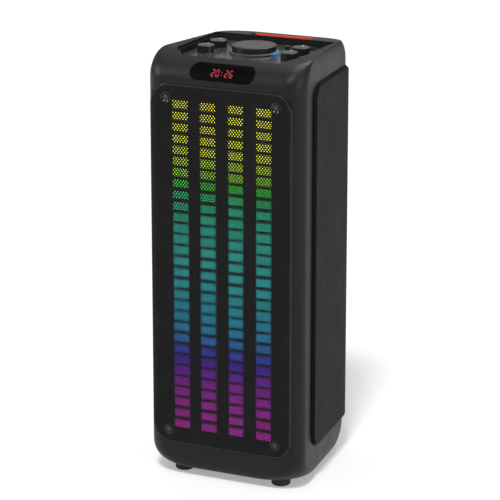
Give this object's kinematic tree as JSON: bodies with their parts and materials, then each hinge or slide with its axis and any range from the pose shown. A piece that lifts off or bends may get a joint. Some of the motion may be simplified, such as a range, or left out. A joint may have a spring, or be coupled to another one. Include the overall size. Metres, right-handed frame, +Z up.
{
  "type": "party speaker",
  "caption": "Tall free-standing party speaker with a lit perforated front, a recessed control deck with knobs and jog dial, and a carry bar.",
  "frame": {"origin": "on the floor, under the middle of the bounding box", "axes": "+X to the right seen from the front, +Y to the back, +Z up; the grille faces -Y"},
  "size_m": [0.2908, 0.282, 0.742],
  "materials": {
    "cabinet_black": "fine moulded texture",
    "deck_black": "satin",
    "plate_gloss": "polished dark grey",
    "grille_steel": "powder coat",
    "screw_black": "black oxide",
    "lens_dark": "smoked, polished",
    "circuit_board": "solder mask",
    "light_diffuser": "translucent",
    "carrier_black": "matt",
    "knob_black": "satin",
    "shaft_metal": "turned",
    "grip_orange": "soft touch",
    "foot_rubber": "matt",
    "baffle_wood": "fibre board",
    "driver_steel": "black",
    "cone_paper": "pressed pulp",
    "surround_rubber": "satin",
    "horn_plastic": "satin",
    "heat_sink_aluminium": "extruded",
    "battery_wrap": "shrink wrap",
    "connector_black": "satin"
  },
  "bodies": {
    "cabinet": {"amplifier_board": "circuit_board", "baffle_board": "baffle_wood", "battery_bracket": "carrier_black", "battery_pack": "battery_wrap", "button_switch": "connector_black", "case_screws": "screw_black", "control_board": "circuit_board", "control_plate": "plate_gloss", "deck_screws": "screw_black", "display_module": "circuit_board", "display_window": "lens_dark", "feet": "foot_rubber", "front_grille": "grille_steel", "front_shell": "cabinet_black", "grille_screws": "screw_black", "handle_grip": "grip_orange", "handle_well": "deck_black", "heat_sink": "heat_sink_aluminium", "input_panel": "cabinet_black", "jog_encoder": "shaft_metal", "jog_light_ring": "light_diffuser", "led_carrier": "carrier_black", "led_strips": "circuit_board", "led_tiles_1": "light_diffuser", "led_tiles_2": "light_diffuser", "led_tiles_3": "light_diffuser", "led_tiles_4": "light_diffuser", "lower_woofer_surround": "surround_rubber", "mains_inlet": "connector_black", "mic_jack": "connector_black", "port_tube": "horn_plastic", "potentiometers": "shaft_metal", "power_supply": "circuit_board", "rear_jacks": "connector_black", "rear_shell": "cabinet_black", "rocker_housing": "connector_black", "side_panel_left": "cabinet_black", "side_panel_right": "cabinet_black", "top_deck": "deck_black", "tweeter_driver": "driver_steel", "tweeter_horn": "horn_plastic", "upper_woofer_surround": "surround_rubber", "usb_port": "connector_black", "woofer_frames": "driver_steel", "woofer_magnets": "driver_steel"},
    "bass_control": {"bass_knob": "knob_black", "bass_shaft": "shaft_metal"},
    "treble_control": {"treble_knob": "knob_black", "treble_shaft": "shaft_metal"},
    "echo_control": {"echo_knob": "knob_black", "echo_shaft": "shaft_metal"},
    "mic_control": {"mic_knob": "knob_black", "mic_shaft": "shaft_metal"},
    "jog_control": {"jog_dial": "knob_black", "jog_shaft": "shaft_metal"},
    "mode_button": {"mode_button": "knob_black"},
    "power_rocker": {"power_rocker": "knob_black"},
    "upper_cone": {"upper_woofer_cone": "cone_paper"},
    "lower_cone": {"lower_woofer_cone": "cone_paper"}
  },
  "joints": [
    {"name": "bass_turn", "type": "hinge", "parent": "cabinet", "child": "bass_control", "pos_m": [-0.077, -0.035, 0.734], "axis": [0, 0, 1], "range_deg": [-150, 150]},
    {"name": "treble_turn", "type": "hinge", "parent": "cabinet", "child": "treble_control", "pos_m": [0.077, -0.035, 0.734], "axis": [0, 0, 1], "range_deg": [-150, 150]},
    {"name": "echo_turn", "type": "hinge", "parent": "cabinet", "child": "echo_control", "pos_m": [-0.077, 0.013, 0.734], "axis": [0, 0, 1], "range_deg": [-150, 150]},
    {"name": "mic_turn", "type": "hinge", "parent": "cabinet", "child": "mic_control", "pos_m": [0.077, 0.013, 0.734], "axis": [0, 0, 1], "range_deg": [-150, 150]},
    {"name": "jog_turn", "type": "hinge", "parent": "cabinet", "child": "jog_control", "pos_m": [0, -0.008, 0.734], "axis": [0, 0, 1], "continuous": true},
    {"name": "mode_press", "type": "slide", "parent": "cabinet", "child": "mode_button", "axis": [0, 0, -1], "range_m": [0, 0.0012], "stiffness_N_per_m": 800},
    {"name": "power_rock", "type": "hinge", "parent": "cabinet", "child": "power_rocker", "pos_m": [0.022, 0.1353, 0.205], "axis": [1, 0, 0], "range_deg": [-14, 0]},
    {"name": "upper_cone_stroke", "type": "slide", "parent": "cabinet", "child": "upper_cone", "axis": [0, 1, 0], "range_m": [-0.003, 0.003], "stiffness_N_per_m": 2500, "deforming": ["upper_woofer_surround"]},
    {"name": "lower_cone_stroke", "type": "slide", "parent": "cabinet", "child": "lower_cone", "axis": [0, 1, 0], "range_m": [-0.003, 0.003], "stiffness_N_per_m": 2500, "deforming": ["lower_woofer_surround"]}
  ]
}
